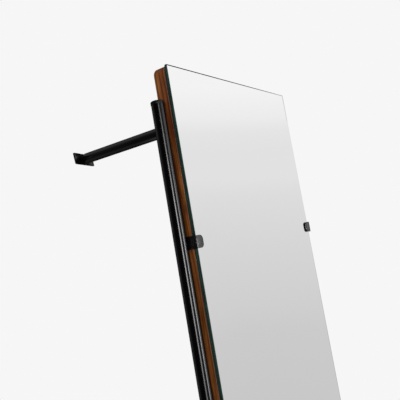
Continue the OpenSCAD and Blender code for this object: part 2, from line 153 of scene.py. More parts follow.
# Up the walls, from straight down to straight up
UP_WALL = [
    (0.0, "#b4b4b4"), (0.49, "#d1d1d1"), (0.51, "#d5d5d5"), (0.565, "#dcdcdc"),
    (0.61, "#e3e3e3"), (0.626, "#e8e8e8"), (0.65, "#e8e8e8"), (0.667, "#ebebeb"),
    (0.68, "#f3f3f3"), (0.705, "#fafafa"), (1.0, "#ffffff"),
]
world = bpy.data.worlds.new("studio")
bpy.context.scene.world = world
world.use_nodes = True
sky = world.node_tree
sky.nodes.clear()
seen = add_node(sky, "TexCoord").outputs["Generated"]
parts = add_node(sky, "SeparateXYZ", {0: seen})
forward = add_node(sky, "Math", {0: parts.outputs["Y"], 1: -1.0}, operation="MULTIPLY")
azimuth = add_node(sky, "Math", {0: parts.outputs["X"], 1: forward.outputs[0]}, operation="ARCTAN2")
turn = add_node(
    sky, "MapRange", {"Value": azimuth.outputs[0], "From Min": -math.pi, "From Max": math.pi}
)
height = add_node(
    sky, "MapRange", {"Value": parts.outputs["Z"], "From Min": -1.0, "From Max": 1.0}
)
round_room = add_node(sky, "ValToRGB", {"Fac": turn.outputs[0]}, stops=ROUND_ROOM)
# The front wall's shading sinks a little towards the right
lift = add_node(
    sky, "MapRange",
    {"Value": turn.outputs[0], "From Min": 0.655, "From Max": 0.700, "To Max": 0.045},
)
lifted = add_node(sky, "Math", {0: height.outputs[0], 1: lift.outputs[0]}, operation="ADD")
up_wall = add_node(sky, "ValToRGB", {"Fac": lifted.outputs[0]}, stops=UP_WALL)
walls = add_node(
    sky, "Mix", {0: 1.0, "A": round_room.outputs[0], "B": up_wall.outputs[0]},
    data_type="RGBA", blend_type="MULTIPLY",
)
print("wall nodes", len(sky.nodes))

# %% [markdown]
# A strip light is a tall soft box. Each gets the direction it stands in, in degrees
# from the front with the left below zero, half its width, its strength, and how it
# fades from its foot to its top. They are added to the walls, so a glossy tube
# shows a bright line for each.

# %% Strip lights
STRIPS = [
    (-39.5, 10.0, 16.0,
     [(0.40, "#000000"), (0.50, "#c0c0c0"), (0.545, "#e4e4e4"), (0.58, "#ffffff"),
      (0.611, "#ffffff"), (0.632, "#f0f0f0"), (0.654, "#dedede"), (0.675, "#b8b8b8"),
      (0.706, "#8c8c8c"), (0.76, "#000000")]),
    (13.5, 9.0, 15.0,
     [(0.40, "#000000"), (0.50, "#d8d8d8"), (0.544, "#f2f2f2"), (0.60, "#ffffff"),
      (0.63, "#e8e8e8"), (0.651, "#c8c8c8"), (0.672, "#a2a2a2"), (0.693, "#7c7c7c"),
      (0.724, "#343434"), (0.77, "#000000")]),
    (32.0, 10.0, 1.4,
     [(0.45, "#c0c0c0"), (0.62, "#ffffff"), (0.75, "#606060"), (0.80, "#000000")]),
]
lit = walls.outputs["Result"]
for direction, half_width, strength, fade in STRIPS:
    strip_fade = add_node(sky, "ValToRGB", {"Fac": height.outputs[0]}, stops=fade)
    off = add_node(
        sky, "Math", {0: azimuth.outputs[0], 1: math.radians(direction)}, operation="SUBTRACT"
    )
    off = add_node(sky, "Math", {0: off.outputs[0]}, operation="ABSOLUTE")
    band = add_node(
        sky, "MapRange",
        {"Value": off.outputs[0], "From Min": math.radians(half_width), "From Max": 0.0,
         "To Max": strength},
        interpolation_type="SMOOTHSTEP",
    )
    band = add_node(
        sky, "Math", {0: band.outputs[0], 1: strip_fade.outputs[0]}, operation="MULTIPLY"
    )
    lit = add_node(
        sky, "Mix", {0: 1.0, "A": lit, "B": band.outputs[0]}, data_type="RGBA", blend_type="ADD"
    ).outputs["Result"]
print("strip lights", len(STRIPS))

# %% [markdown]
# The last nodes choose what each ray meets. Gloss sees the laid-out room, the
# camera sees plain pale grey, and all else is lit by even white. One background
# for all three would put the strip lights into the picture. The Standard view
# transform keeps the colours as they are written.

# %% What each ray sees
ray = add_node(sky, "LightPath")
gloss = add_node(
    sky, "Math", {0: ray.outputs["Is Glossy Ray"], 1: ray.outputs["Is Transmission Ray"]},
    operation="MAXIMUM",
)
SOFT_LIGHT = 0.62
soft = add_node(sky, "Background", {"Color": hex_colour("#ffffff"), "Strength": SOFT_LIGHT})
room = add_node(sky, "Background", {"Color": lit})
pale = add_node(sky, "Background", {"Color": hex_colour("#f6f6f6")})
not_seen = add_node(
    sky, "MixShader", {0: gloss.outputs[0], 1: soft.outputs[0], 2: room.outputs[0]}
)
studio = add_node(
    sky, "MixShader", {0: ray.outputs["Is Camera Ray"], 1: not_seen.outputs[0], 2: pale.outputs[0]}
)
add_node(sky, "OutputWorld", {"Surface": studio.outputs[0]})
bpy.context.scene.view_settings.view_transform = "Standard"
print("studio nodes", len(sky.nodes))

# %% [markdown]
# One large soft lamp near the camera gives the forms a lit and a shaded side and
# throws the shadow on the floor. It is hidden from gloss, because a square patch
# in the tubes would look like a window.

# %% Key lamp
LAMP_AT, LAMP_AIMS_AT = (-2.5, -1.7, 2.3), Vector((0, 0, 1.1))
LAMP_SIZE, LAMP_WATTS = 1.4, 40
key = bpy.data.objects.new("soft_key", bpy.data.lights.new("soft_key", "AREA"))
bpy.context.scene.collection.objects.link(key)
key.data.shape = "SQUARE"
key.data.size = LAMP_SIZE
key.data.energy = LAMP_WATTS
key.location = LAMP_AT
key.rotation_euler = (LAMP_AIMS_AT - key.location).to_track_quat("-Z", "Y").to_euler()
key.visible_glossy = False
print("key lamp at", list(key.location))

# %% [markdown]
# Finishes. Each starts as a Principled shader with typical values for the real
# material. Patterns read Object coordinates. Wood grain must run along the
# leaning board, so the coordinates are first turned upright by the lean's angle.

# %% Start a finish
def new_finish(name, **shader_values):
    finish = bpy.data.materials.new(name)
    finish.use_nodes = True
    shader = finish.node_tree.nodes["Principled BSDF"]
    for socket, value in shader_values.items():
        shader.inputs[socket.replace("_", " ")].default_value = value
    place = add_node(finish.node_tree, "TexCoord").outputs["Object"]
    upright = add_node(
        finish.node_tree, "Mapping", {"Vector": place, "Rotation": (LEAN, 0, 0)}
    ).outputs[0]
    return finish, finish.node_tree, shader, upright


print("patterns are turned by", round(math.degrees(LEAN)), "degrees")

# %% [markdown]
# Satin black powder coat on steel: dry powder is sprayed on and baked, and it
# flows into a slightly uneven skin, called orange peel. To the eye it is a deep
# black with soft-edged highlights that waver a little. A real displacement would
# cost many faces, so a bump gives the waver and a slow noise varies the gloss.

# %% Powder coat
powder_coat, tree, shader, upright = new_finish(
    "black_powder_coat", Base_Color=hex_colour("#040404"), Roughness=0.15, IOR=1.5
)
peel = add_node(tree, "TexNoise", {"Vector": upright, "Scale": every(2.4), "Detail": 2.0})
bump = add_node(
    tree, "Bump", {"Height": peel.outputs["Fac"], "Strength": 0.02, "Distance": 0.0001}
)
tree.links.new(bump.outputs[0], shader.inputs["Normal"])
haze = add_node(tree, "TexNoise", {"Vector": upright, "Scale": every(28.5), "Detail": 3.0})
gloss_range = add_node(
    tree, "MapRange", {"Value": haze.outputs["Fac"], "To Min": 0.11, "To Max": 0.19}
)
tree.links.new(gloss_range.outputs[0], shader.inputs["Roughness"])
print("powder coat", len(tree.nodes), "nodes")

# %% [markdown]
# Black oxide on the bent clips: the steel itself is turned black in a hot salt
# bath and oiled. The coat is thin, so the brushed metal under it still gives a
# dull grey sheen. It is a dark metal here, because a black paint would have no
# sheen. The noise is drawn out along the strip, as the brushing is.

# %% Black oxide
black_oxide, tree, shader, upright = new_finish(
    "black_oxide_steel", Base_Color=hex_colour("#646464"), Metallic=1.0, Roughness=0.38
)
# Brush marks are about 0.1 mm apart, too fine to show, so they are drawn at 1.1 mm
brushed = add_node(tree, "Mapping", {"Vector": upright, "Scale": (1, 1, 0.08)})
grind = add_node(
    tree, "TexNoise", {"Vector": brushed.outputs[0], "Scale": every(1.1), "Detail": 3.0}
)
tone = add_node(
    tree, "ValToRGB", {"Fac": grind.outputs["Fac"]},
    stops=[(0.30, "#4a4a4a"), (0.70, "#666666")],
)
tree.links.new(tone.outputs[0], shader.inputs["Base Color"])
bump = add_node(
    tree, "Bump", {"Height": grind.outputs["Fac"], "Strength": 0.1, "Distance": 0.0001}
)
tree.links.new(bump.outputs[0], shader.inputs["Normal"])
print("black oxide", len(tree.nodes), "nodes")

# %% [markdown]
# Silvered float glass. The silver lies on the back of clear glass and mirrors the
# room sharply. Clear glass over a mirror needs many bounces and stays noisy, so
# the pane's front face itself is the mirror. A trace of uneven haze keeps it from
# looking computed.

# %% Silvering
silvering, tree, shader, upright = new_finish(
    "silvered_float_glass", Base_Color=hex_colour("#f7f7f7"), Metallic=1.0, Roughness=0.0
)
film_haze = add_node(tree, "TexNoise", {"Vector": upright, "Scale": every(165.0), "Detail": 2.0})
haze_range = add_node(
    tree, "MapRange", {"Value": film_haze.outputs["Fac"], "To Min": 0.0, "To Max": 0.03}
)
tree.links.new(haze_range.outputs[0], shader.inputs["Roughness"])
print("silvering", len(tree.nodes), "nodes")

# %% [markdown]
# The pane's edge, seen from the side, is dark green, because the light crosses so
# much glass. It is polished along its length, which leaves fine streaks. The
# small bevel at the front, the arris, is ground and stays dull. The one at the
# back is sealed with black lacquer, so that damp doesn't reach the silver. Light
# that really crossed the glass would need many bounces, so the green is a noise
# drawn out along the edge.

# %% Glass edge
glass_edge, tree, shader, upright = new_finish(
    "polished_glass_edge", Base_Color=hex_colour("#142a23"), Roughness=0.12, IOR=1.52
)
# Polishing marks are under 0.1 mm, too fine to show, so they are drawn at 1.4 mm
drawn = add_node(tree, "Mapping", {"Vector": upright, "Scale": (1, 1, 0.03)})
streak = add_node(
    tree, "TexNoise", {"Vector": drawn.outputs[0], "Scale": every(1.4), "Detail": 3.0}
)
green = add_node(
    tree, "ValToRGB", {"Fac": streak.outputs["Fac"]},
    stops=[(0.32, "#0c1c16"), (0.52, "#182f27"), (0.68, "#2c4a40")],
)
tree.links.new(green.outputs[0], shader.inputs["Base Color"])

ground_arris, tree, shader, upright = new_finish(
    "ground_glass_arris", Base_Color=hex_colour("#16281f"), Roughness=0.65, IOR=1.52,
    Specular_IOR_Level=0.25,
)
# The grit leaves marks of about 0.1 mm, drawn at 0.75 mm so that they show
grit = add_node(tree, "TexNoise", {"Vector": upright, "Scale": every(0.75), "Detail": 2.0})
tone = add_node(
    tree, "ValToRGB", {"Fac": grit.outputs["Fac"]}, stops=[(0.3, "#14251e"), (0.7, "#263f36")]
)
tree.links.new(tone.outputs[0], shader.inputs["Base Color"])

edge_sealer, tree, shader, upright = new_finish(
    "black_edge_sealer", Base_Color=hex_colour("#08100d"), Roughness=0.6, Specular_IOR_Level=0.2
)
dabs = add_node(tree, "TexNoise", {"Vector": upright, "Scale": every(3.3), "Detail": 3.0})
tone = add_node(
    tree, "ValToRGB", {"Fac": dabs.outputs["Fac"]}, stops=[(0.3, "#020403"), (0.7, "#060c0a")]
)
tree.links.new(tone.outputs[0], shader.inputs["Base Color"])
print("edge finishes", glass_edge.name, ground_arris.name, edge_sealer.name)

# %% [markdown]
# Through the front, the silver also mirrors the ground top edge as a thin dark line. It is dark
# over the near end and pales towards the far end, where the view meets it more squarely. With no
# clear glass to look through, the line is painted: a narrow strip of the front face with a ramp
# across the pane, which paints both the reflection and its fade.

# %% Painted reflection of the ground edge
painted_edge_reflection, tree, shader, upright = new_finish(
    "painted_reflection_of_ground_edge", Base_Color=hex_colour("#202422"), Roughness=0.7, IOR=1.52,
    Specular_IOR_Level=0.0,
)
HALF_W = GLASS_W / 2000
across = add_node(tree, "SeparateXYZ", {0: upright}).outputs["X"]
along_top = add_node(tree, "MapRange", {"Value": across, "From Min": -HALF_W, "From Max": HALF_W})
# The painted fade of the reflected edge, dark at the near end and pale at the far end
painted_fade = add_node(
    tree, "ValToRGB", {"Fac": along_top.outputs[0]},
    stops=[(0.0, "#050606"), (0.35, "#3a3d3c"), (0.7, "#8c8f8e"), (0.91, "#cdcfce"),
           (1.0, "#e6e7e6")],
)
# The same marks again, drawn at 1.1 mm because the line is so thin
grit = add_node(tree, "TexNoise", {"Vector": upright, "Scale": every(1.1), "Detail": 2.0})
speck = add_node(
    tree, "ValToRGB", {"Fac": grit.outputs["Fac"]}, stops=[(0.3, "#e0e0e0"), (0.7, "#ffffff")]
)
dull = add_node(
    tree, "Mix", {0: 1.0, "A": painted_fade.outputs[0], "B": speck.outputs[0]},
    data_type="RGBA", blend_type="MULTIPLY",
)
tree.links.new(dull.outputs["Result"], shader.inputs["Base Color"])
print("seen edge", len(tree.nodes), "nodes")

# %% [markdown]
# Along the right edge a thin grey line is painted into the silver: a painted reflection of the
# arris seen in the glass. It shows over the top 62 mm and is hardly seen below it, where the strip
# is only a little darker than the rest of the mirror. It could be painted on an image, but a ramp
# up the strip needs no unwrapping. Upright heights differ from the mirror's own by a constant,
# because the turn is about the room's origin.

# %% Painted arris reflection along the right edge
painted_arris_reflection, tree, shader, upright = new_finish(
    "arris_reflection_painted_in_silvering", Base_Color=hex_colour("#e8e8e8"), Metallic=1.0, Roughness=0.05
)
UPRIGHT_TOP = round((GLASS_TOP + AXIS_Y * math.sin(LEAN)) / 1000, 3)
PAINTED_LINE_SPAN = 0.622
up_edge = add_node(tree, "SeparateXYZ", {0: upright}).outputs["Z"]
part_up = add_node(
    tree, "MapRange",
    {"Value": up_edge, "From Min": UPRIGHT_TOP - PAINTED_LINE_SPAN, "From Max": UPRIGHT_TOP},
)
# Painted reflection: darkest at the top, gone 62 mm down, and a little darker than the mirror below
# that
tone = add_node(
    tree, "ValToRGB", {"Fac": part_up.outputs[0]},
    stops=[(0.0, "#dcdcdc"), (0.35, "#e8e8e8"), (0.55, "#f3f3f3"), (0.88, "#f4f4f4"),
           (0.90, "#d0d0d0"), (1.0, "#b0b0b0")],
)
tree.links.new(tone.outputs[0], shader.inputs["Base Color"])
print("upright top of the glass", UPRIGHT_TOP)

# %% [markdown]
# Mirror back paint: a grey lacquer that is rolled over the copper and silver. The
# roller leaves a faint stipple. It is too shallow to cast shade, so it is a noise
# in the colour and not a bump.

# %% Back paint
back_paint, tree, shader, upright = new_finish(
    "mirror_back_paint", Base_Color=hex_colour("#50555a"), Roughness=0.55
)
roller = add_node(tree, "TexNoise", {"Vector": upright, "Scale": every(4.2), "Detail": 3.0})
tone = add_node(
    tree, "ValToRGB", {"Fac": roller.outputs["Fac"]}, stops=[(0.3, "#4a4f54"), (0.7, "#585d62")]
)
tree.links.new(tone.outputs[0], shader.inputs["Base Color"])
print("back paint", len(tree.nodes), "nodes")

# %% [markdown]
# Oiled walnut. The board is planed and oiled, so it is warm brown with darker
# bands, some red streaks, and fine open pores along the grain. A wave texture
# makes stripes that are too even for wood, so noises are drawn out along the
# board instead: bands about 13 mm wide give the browns, and a slower one says
# where the heartwood turns red.

# %% Walnut colours
walnut, tree, shader, upright = new_finish(
    "oiled_walnut", Base_Color=hex_colour("#704322"), Roughness=0.45, IOR=1.47,
    Specular_IOR_Level=0.12,
)
long_grain = add_node(
    tree, "Mapping", {"Vector": upright, "Location": (0.03, 0.01, 0.0), "Scale": (1, 1, 0.13)}
)
sway = add_node(
    tree, "TexNoise", {"Vector": long_grain.outputs[0], "Scale": every(21.0), "Detail": 2.0}
)
bands = add_node(
    tree, "TexNoise",
    {"Vector": long_grain.outputs[0], "Scale": every(13.3), "Detail": 4.0, "Distortion": 0.6},
)
brown = add_node(
    tree, "ValToRGB", {"Fac": bands.outputs["Fac"]},
    stops=[(0.28, "#4f2e15"), (0.44, "#74431f"), (0.56, "#875126"), (0.74, "#995f33")],
)
red_mask = add_node(
    tree, "MapRange", {"Value": sway.outputs["Fac"], "From Min": 0.52, "From Max": 0.68}
)
reddish = add_node(
    tree, "Mix", {0: red_mask.outputs[0], "A": brown.outputs[0], "B": hex_colour("#6e341c")},
    data_type="RGBA",
)
print("walnut colours", len(tree.nodes), "nodes")

# %% [markdown]
# Over the bands lie the finer marks of the grain: streaks about 3 mm wide and open
# pores under 1 mm. Both darken what is under them. The pores also dent the oiled
# face a little, because oil sinks into them and doesn't fill them.

# %% Walnut streaks and pores
fine = add_node(tree, "Mapping", {"Vector": upright, "Scale": (1, 1, 0.02)})
streaks = add_node(
    tree, "TexNoise", {"Vector": fine.outputs[0], "Scale": every(3.0), "Detail": 3.0}
)
streak_tone = add_node(
    tree, "ValToRGB", {"Fac": streaks.outputs["Fac"]}, stops=[(0.36, "#a89c94"), (0.58, "#ffffff")]
)
# Walnut's pores are about 0.2 mm wide, drawn at 0.65 mm so that they show
pores = add_node(
    tree, "TexNoise", {"Vector": fine.outputs[0], "Scale": every(0.65), "Detail": 1.0}
)
pore_dark = add_node(
    tree, "ValToRGB", {"Fac": pores.outputs["Fac"]}, stops=[(0.26, "#6a5a50"), (0.40, "#ffffff")]
)
worked = reddish
for layer in (streak_tone, pore_dark):
    worked = add_node(
        tree, "Mix", {0: 1.0, "A": worked.outputs["Result"], "B": layer.outputs[0]},
        data_type="RGBA", blend_type="MULTIPLY",
    )
tree.links.new(worked.outputs["Result"], shader.inputs["Base Color"])
bump = add_node(
    tree, "Bump", {"Height": pore_dark.outputs[0], "Strength": 0.25, "Distance": 0.0002}
)
tree.links.new(bump.outputs[0], shader.inputs["Normal"])
print("walnut", len(tree.nodes), "nodes")

# %% [markdown]
# The board's front edge is broken, so a thin slanted line runs along the glass. Its pale greyish
# colour is a painted highlight, the light that this small bevel catches, streaky along its length.
# It has a finish of its own, because a mask in the walnut would have to find it.

# %% Painted highlight on the front edge
walnut_edge_highlight, tree, shader, upright = new_finish(
    "walnut_edge_painted_highlight", Base_Color=hex_colour("#8f7a66"), Roughness=0.7
)
long_grain = add_node(tree, "Mapping", {"Vector": upright, "Scale": (1, 1, 0.03)})
# The painted highlight varies in streaks about 2 mm across, drawn out along the edge
highlight_streaks = add_node(
    tree, "TexNoise", {"Vector": long_grain.outputs[0], "Scale": every(2.0), "Detail": 3.0}
)
tone = add_node(
    tree, "ValToRGB", {"Fac": highlight_streaks.outputs["Fac"]}, stops=[(0.35, "#463426"), (0.65, "#6a5645")]
)
tree.links.new(tone.outputs[0], shader.inputs["Base Color"])
print("sanded edge", len(tree.nodes), "nodes")

# %% [markdown]
# Moulded black plastic for the caps and rubber for the feet and pads. The mould's
# spark-eroded grain makes plastic look dull. Rubber is duller still and greys
# with dust, so its colour is a noise and not one tone.

# %% Plastic and rubber
cap_plastic, tree, shader, upright = new_finish(
    "moulded_black_plastic", Base_Color=hex_colour("#070708"), Roughness=0.5, IOR=1.46,
    Specular_IOR_Level=0.3,
)
# The grain is about 0.1 mm, drawn at 0.6 mm so that it shows
grain = add_node(tree, "TexNoise", {"Vector": upright, "Scale": every(0.6), "Detail": 2.0})
bump = add_node(
    tree, "Bump", {"Height": grain.outputs["Fac"], "Strength": 0.2, "Distance": 0.0001}
)
tree.links.new(bump.outputs[0], shader.inputs["Normal"])

rubber, tree, shader, upright = new_finish(
    "matt_black_rubber", Base_Color=hex_colour("#0a0a0a"), Roughness=0.75, IOR=1.52
)
dusty = add_node(tree, "TexNoise", {"Vector": upright, "Scale": every(6.2), "Detail": 4.0})
tone = add_node(
    tree, "ValToRGB", {"Fac": dusty.outputs["Fac"]}, stops=[(0.35, "#080808"), (0.75, "#1a1918")]
)
tree.links.new(tone.outputs[0], shader.inputs["Base Color"])
bump = add_node(
    tree, "Bump", {"Height": dusty.outputs["Fac"], "Strength": 0.15, "Distance": 0.0002}
)
tree.links.new(bump.outputs[0], shader.inputs["Normal"])
print("plastic and rubber", cap_plastic.name, rubber.name)

# %% [markdown]
# The hidden soft layers: nylon cups round the balls, foam tape between glass and
# board, and the woven safety film that holds the glass together if it breaks. They
# show only in gaps, so each gets one pattern at its real spacing.

# %% Nylon, foam and film
nylon, tree, shader, upright = new_finish(
    "natural_nylon", Base_Color=hex_colour("#dddacc"), Roughness=0.45, IOR=1.53
)
cloud = add_node(tree, "TexNoise", {"Vector": upright, "Scale": every(3.3), "Detail": 2.0})
tone = add_node(
    tree, "ValToRGB", {"Fac": cloud.outputs["Fac"]}, stops=[(0.3, "#d2cfc0"), (0.7, "#e4e1d5")]
)
tree.links.new(tone.outputs[0], shader.inputs["Base Color"])

foam, tree, shader, upright = new_finish(
    "closed_cell_foam", Base_Color=hex_colour("#1b1b1d"), Roughness=0.85
)
cells = add_node(tree, "TexVoronoi", {"Vector": upright, "Scale": every(0.4)})
tone = add_node(
    tree, "ValToRGB", {"Fac": cells.outputs["Distance"]},
    stops=[(0.1, "#060607"), (0.8, "#0e0e10")],
)
tree.links.new(tone.outputs[0], shader.inputs["Base Color"])

safety_film, tree, shader, upright = new_finish(
    "safety_film", Base_Color=hex_colour("#54585c"), Roughness=0.35, IOR=1.5
)
scrim = add_node(
    tree, "TexWave", {"Vector": upright, "Scale": every(11.0)}, bands_direction="DIAGONAL"
)
tone = add_node(
    tree, "ValToRGB", {"Fac": scrim.outputs["Fac"]}, stops=[(0.2, "#4e5256"), (0.9, "#63676b")]
)
tree.links.new(tone.outputs[0], shader.inputs["Base Color"])
print("soft layers", nylon.name, foam.name, safety_film.name)

# %% [markdown]
# Bare metals. Screws and nuts are zinc plated, with a cloudy bloom that runs from
# blue to yellow. The ball studs are turned steel, with fine tool marks in the
# shine. Both are metals, so their colour is the colour of their reflection, and
# the marks are a bump, which only bends it.

# %% Zinc and turned steel
zinc, tree, shader, upright = new_finish(
    "bright_zinc_plate", Base_Color=hex_colour("#b9bbbd"), Metallic=1.0, Roughness=0.32
)
bloom = add_node(tree, "TexNoise", {"Vector": upright, "Scale": every(4.5), "Detail": 3.0})
tone = add_node(
    tree, "ValToRGB", {"Fac": bloom.outputs["Fac"]}, stops=[(0.3, "#a3a6ab"), (0.7, "#c9cac6")]
)
tree.links.new(tone.outputs[0], shader.inputs["Base Color"])

turned_steel, tree, shader, upright = new_finish(
    "turned_steel", Base_Color=hex_colour("#a8a8a9"), Metallic=1.0, Roughness=0.25
)
# The tool's marks are about 0.1 mm apart, drawn at 0.7 mm so that they show
marks = add_node(tree, "TexNoise", {"Vector": upright, "Scale": every(0.7), "Detail": 2.0})
bump = add_node(
    tree, "Bump", {"Height": marks.outputs["Fac"], "Strength": 0.15, "Distance": 0.0001}
)
tree.links.new(bump.outputs[0], shader.inputs["Normal"])
print("bare metals", zinc.name, turned_steel.name)

# %% [markdown]
# The frame's tubes, bars and inner fittings have the right shape in the CAD model
# already, so they stay as they are and only get their finishes.

# %% Finish the CAD pieces that stay
KEPT = {
    "left_post": powder_coat, "right_post": powder_coat,
    "upper_rail": powder_coat, "middle_rail": powder_coat, "lower_rail": powder_coat,
    "left_strut": powder_coat, "right_strut": powder_coat,
    "left_socket_plug": powder_coat, "right_socket_plug": powder_coat,
    "left_strut_plug": zinc, "right_strut_plug": zinc, "strut_studs": zinc, "rivet_nuts": zinc,
    "left_swivel_cup": nylon, "right_swivel_cup": nylon,
    "left_ball_stud": turned_steel, "right_ball_stud": turned_steel,
    "clip_pads": rubber, "bottom_pads": rubber,
    "backing_film": safety_film, "foam_tape": foam,
}
for node, finish in KEPT.items():
    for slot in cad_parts[node].material_slots:
        slot.material = finish
print("finished", len(KEPT), "CAD nodes")

# %% [markdown]
# Modelling helpers. draw() adds a primitive at its size and place, with nothing
# else selected. choose() selects faces or edges by the places of their corners, so
# the edit-mode operators that follow work on them alone, as if picked by hand.
# share() asks whether corners have one X, Y or Z in common, and at() which it is.

# %% Draw and choose
def draw(kind, name, centre=(0, 0, 0), scale=(1, 1, 1), turn=(0, 0, 0), **shape):
    bpy.ops.object.select_all(action="DESELECT")
    start = {
        "cube": bpy.ops.mesh.primitive_cube_add,
        "cylinder": bpy.ops.mesh.primitive_cylinder_add,
        "cone": bpy.ops.mesh.primitive_cone_add,
    }[kind]
    start(location=centre, rotation=turn, **shape)
    piece = bpy.context.object
    piece.scale = scale
    piece.name = piece.data.name = name
    bpy.ops.object.transform_apply(location=True, rotation=True, scale=True)
    return piece


def choose(piece, kind, test):
    bpy.context.view_layer.objects.active = piece
    bpy.ops.object.mode_set(mode="EDIT")
    bpy.ops.mesh.select_mode(type=kind)
    bpy.ops.mesh.select_all(action="DESELECT")
    bpy.ops.object.mode_set(mode="OBJECT")
    mesh = piece.data
    for part in mesh.polygons if kind == "FACE" else mesh.edges:
        part.select = bool(test([mesh.vertices[i].co for i in part.vertices]))
    bpy.ops.object.mode_set(mode="EDIT")


def share(corners, axis, near=0.01):
    return max(abs(c[axis] - corners[0][axis]) for c in corners) < near


def at(corners, axis, value, near=0.02):
    return all(abs(c[axis] - value) < near for c in corners)


X, Y, Z = 0, 1, 2
print("a flat face passes", at([Vector((0, 0, 5)), Vector((1, 0, 5))], Z, 5))

# %% [markdown]
# cut_plane() adds a ring of edges where a plane crosses the piece, for strips of another finish or
# for a groove. settle() ends a piece. It leans the mesh into the room, gives it its finish and
# smooths the shading where faces meet at a small angle. Then it hangs the piece under the body it
# rides on and hides the CAD nodes it stands for.

# %% Cut by a plane, and settle
def cut_plane(piece, point, across, **settings):
    bpy.context.view_layer.objects.active = piece
    bpy.ops.object.mode_set(mode="EDIT")
    bpy.ops.mesh.select_all(action="SELECT")
    bpy.ops.mesh.bisect(plane_co=point, plane_no=across, **settings)
    bpy.ops.object.mode_set(mode="OBJECT")


def settle(piece, body, slot, *nodes, finish=None, angle=35):
    if bpy.context.mode != "OBJECT":
        bpy.ops.object.mode_set(mode="OBJECT")
    piece.data.transform(LEANED)
    if finish:
        piece.data.materials.clear()
        piece.data.materials.append(finish)
    bpy.ops.object.select_all(action="DESELECT")
    piece.select_set(True)
    bpy.context.view_layer.objects.active = piece
    bpy.ops.object.shade_smooth_by_angle(angle=math.radians(angle))
    piece.select_set(False)
    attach(piece, body)
    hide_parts(*nodes)
    print(piece.name, len(piece.data.polygons), "faces on", body)


print("settling shrinks a piece by", round(LEANED.to_scale().x, 6))

# %% [markdown]
# The glass. A pane is cut from 6 mm float glass, its corners are eased, and the
# sharp arris along every edge is taken off. A box with bevels gives the same
# faces. Cuts near the top, the bottom and the right edge part off the narrow
# strips that have a finish of their own.

# %% Glass pane
PANE_CORNER, ARRIS = 1.6, 1.2
EDGE_SEEN, SIDE_SEEN = 2.8, 4.4
GLASS_BACK = GLASS_FRONT + GLASS_T
pane = draw(
    "cube", "glass_pane", (0, GLASS_FRONT + GLASS_T / 2, GLASS_Z + GLASS_H / 2),
    (GLASS_W, GLASS_T, GLASS_H), size=1,
)
choose(pane, "EDGE", lambda c: share(c, X) and share(c, Z))
bpy.ops.mesh.bevel(offset=PANE_CORNER, segments=5, affect="EDGES")
choose(pane, "EDGE", lambda c: at(c, Y, GLASS_FRONT) or at(c, Y, GLASS_BACK))
bpy.ops.mesh.bevel(offset=ARRIS, segments=1, affect="EDGES")
for level in (GLASS_Z + EDGE_SEEN, GLASS_TOP - EDGE_SEEN):
    cut_plane(pane, (0, 0, level), (0, 0, 1))
cut_plane(pane, (GLASS_W / 2 - SIDE_SEEN, 0, 0), (1, 0, 0))
print("pane", len(pane.data.polygons), "faces")

# %% [markdown]
# Each face of the pane gets its finish by the way it faces and by where it is, as
# one would pick faces by hand and assign a material. The front is the mirror, with
# the strips along its top, bottom and right edges. The slanting faces are the
# arrises, and what faces sideways is the polished edge.

# %% Finish of each face
# How far a face's normal points back or forward: flat faces reach 1, edges have 0
FLAT, SLANTED = 0.99, 0.3
PANE_FINISHES = [silvering, glass_edge, ground_arris, back_paint, painted_edge_reflection, edge_sealer, painted_arris_reflection]
for finish in PANE_FINISHES:
    pane.data.materials.append(finish)
for face in pane.data.polygons:
    facing = face.normal.y
    from_middle = abs(face.center.z - GLASS_Z - GLASS_H / 2)
    if facing > FLAT:
        finish = back_paint
    elif facing > SLANTED:
        finish = edge_sealer
    elif facing > -SLANTED:
        finish = glass_edge
    elif facing > -FLAT:
        finish = ground_arris
    elif from_middle > GLASS_H / 2 - EDGE_SEEN:
        finish = painted_edge_reflection
    elif face.center.x > GLASS_W / 2 - SIDE_SEEN:
        finish = painted_arris_reflection
    else:
        finish = silvering
    face.material_index = PANE_FINISHES.index(finish)
settle(pane, "frame", "silvered_glass", "mirror_glass")

# %% [markdown]
# The board is a solid walnut panel. Its corners are rounded as seen from the
# front, the back edge has a soft round-over, and the front edge, against the
# glass, is only broken. A slab is drawn and its edges are bevelled in that order,
# because the round-over must run round the corners too.

# %% Walnut board
BOARD_W, BOARD_H = GLASS_W - 1, 1653.0
BOARD_FRONT, BOARD_BACK = -18.4, 11.6
BOARD_CORNER, ROUND_OVER, BROKEN_EDGE = 14, 7, 0.6
board = draw(
    "cube", "walnut_board", (0, (BOARD_FRONT + BOARD_BACK) / 2, GLASS_Z + BOARD_H / 2),
    (BOARD_W, BOARD_BACK - BOARD_FRONT, BOARD_H), size=1,
)
choose(board, "EDGE", lambda c: share(c, X) and share(c, Z))
bpy.ops.mesh.bevel(offset=BOARD_CORNER, segments=10, affect="EDGES")
choose(board, "EDGE", lambda c: at(c, Y, BOARD_BACK))
bpy.ops.mesh.bevel(offset=ROUND_OVER, segments=7, affect="EDGES")
choose(board, "EDGE", lambda c: at(c, Y, BOARD_FRONT))
bpy.ops.mesh.bevel(offset=BROKEN_EDGE, segments=1, affect="EDGES")
bpy.ops.object.mode_set(mode="OBJECT")
board.data.materials.append(walnut)
board.data.materials.append(walnut_edge_highlight)
# Only the broken edge slants forward, at 45 degrees
for face in board.data.polygons:
    face.material_index = 1 if -0.9 < face.normal.y < -0.5 else 0
print("board", len(board.data.polygons), "faces")

# %% [markdown]
# modify() adds a modifier and applies it at once. cut_away() uses it for a boolean
# and removes the cutter. The exact solver is slower than the fast one, but it
# copes with faces that lie in one plane.

# %% Modify and cut away
def modify(piece, kind, **settings):
    bpy.ops.object.mode_set(mode="OBJECT")
    bpy.context.view_layer.objects.active = piece
    step = piece.modifiers.new(kind.lower(), kind)
    for name, value in settings.items():
        setattr(step, name, value)
    bpy.ops.object.modifier_apply(modifier=step.name)


